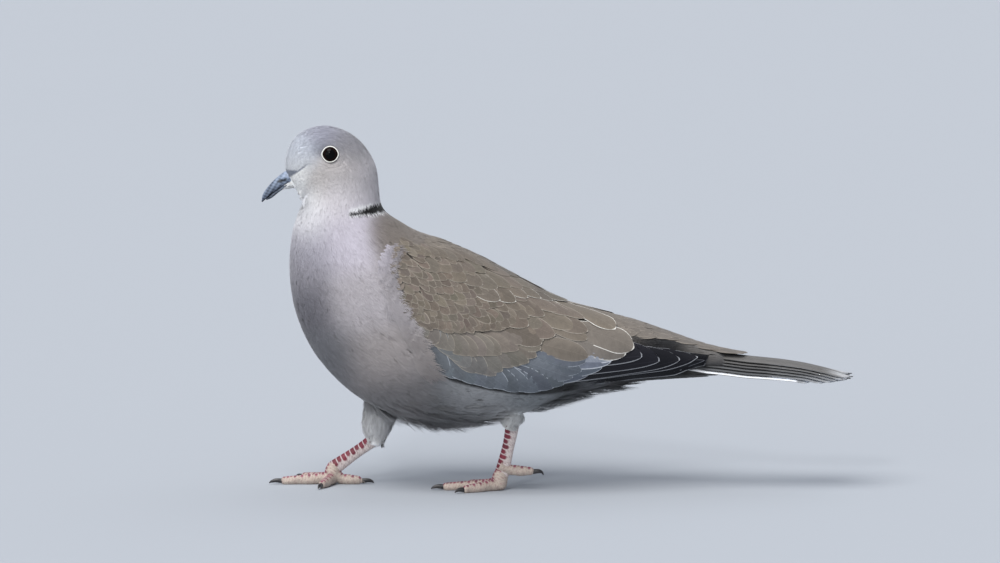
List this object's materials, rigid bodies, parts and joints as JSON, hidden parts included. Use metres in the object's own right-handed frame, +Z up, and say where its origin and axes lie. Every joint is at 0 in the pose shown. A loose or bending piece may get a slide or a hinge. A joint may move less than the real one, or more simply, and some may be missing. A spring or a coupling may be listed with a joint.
{
  "type": "eurasian collared dove model",
  "caption": "Still life-size model of a walking collared dove with folded wings and a long closed tail, standing on its own feet.",
  "frame": {"origin": "on the floor under the middle of the box around the whole bird", "axes": "+X towards the tail tip, so the bill points to -X; +Y to the bird's right side; +Z up, with the soles on z = 0"},
  "size_m": [0.278, 0.0784, 0.172],
  "materials": {
    "plumage": "soft pinkish-grey body feathers with a black half collar edged white",
    "wing_feathers": "pale brown coverts with lighter edges, blue-grey along the lower side",
    "flight_feathers": "blackish primaries with pale fringes",
    "tail_feathers": "grey-brown tail feathers, black at the base beneath, white at the tips",
    "bill": "slate black horn with a bluish sheen",
    "eye": "wet, very dark red iris that looks black",
    "leg_skin": "dull crimson scutes over pale skin",
    "claw": "blackish horn"
  },
  "bodies": {
    "root": {"bill_lower": "bill", "bill_upper": "bill", "claw_hind_left": "claw", "claw_hind_right": "claw", "claw_inner_left": "claw", "claw_inner_right": "claw", "claw_middle_left": "claw", "claw_middle_right": "claw", "claw_outer_left": "claw", "claw_outer_right": "claw", "eye_left": "eye", "eye_right": "eye", "foot_left": "leg_skin", "foot_right": "leg_skin", "head": "plumage", "neck": "plumage", "rump": "plumage", "shank_left": "leg_skin", "shank_right": "leg_skin", "tail_coverts_lower": "plumage", "tail_coverts_upper": "plumage", "tail_feather_1_left": "tail_feathers", "tail_feather_1_right": "tail_feathers", "tail_feather_2_left": "tail_feathers", "tail_feather_2_right": "tail_feathers", "tail_feather_3_left": "tail_feathers", "tail_feather_3_right": "tail_feathers", "tail_feather_4_left": "tail_feathers", "tail_feather_4_right": "tail_feathers", "tail_feather_5_left": "tail_feathers", "tail_feather_5_right": "tail_feathers", "tail_feather_6_left": "tail_feathers", "tail_feather_6_right": "tail_feathers", "thigh_left": "plumage", "thigh_right": "plumage", "trunk": "plumage", "wing_coverts_left": "wing_feathers", "wing_coverts_right": "wing_feathers", "wing_primaries_left": "flight_feathers", "wing_primaries_right": "flight_feathers", "wing_secondaries_left": "wing_feathers", "wing_secondaries_right": "wing_feathers"}
  },
  "joints": []
}
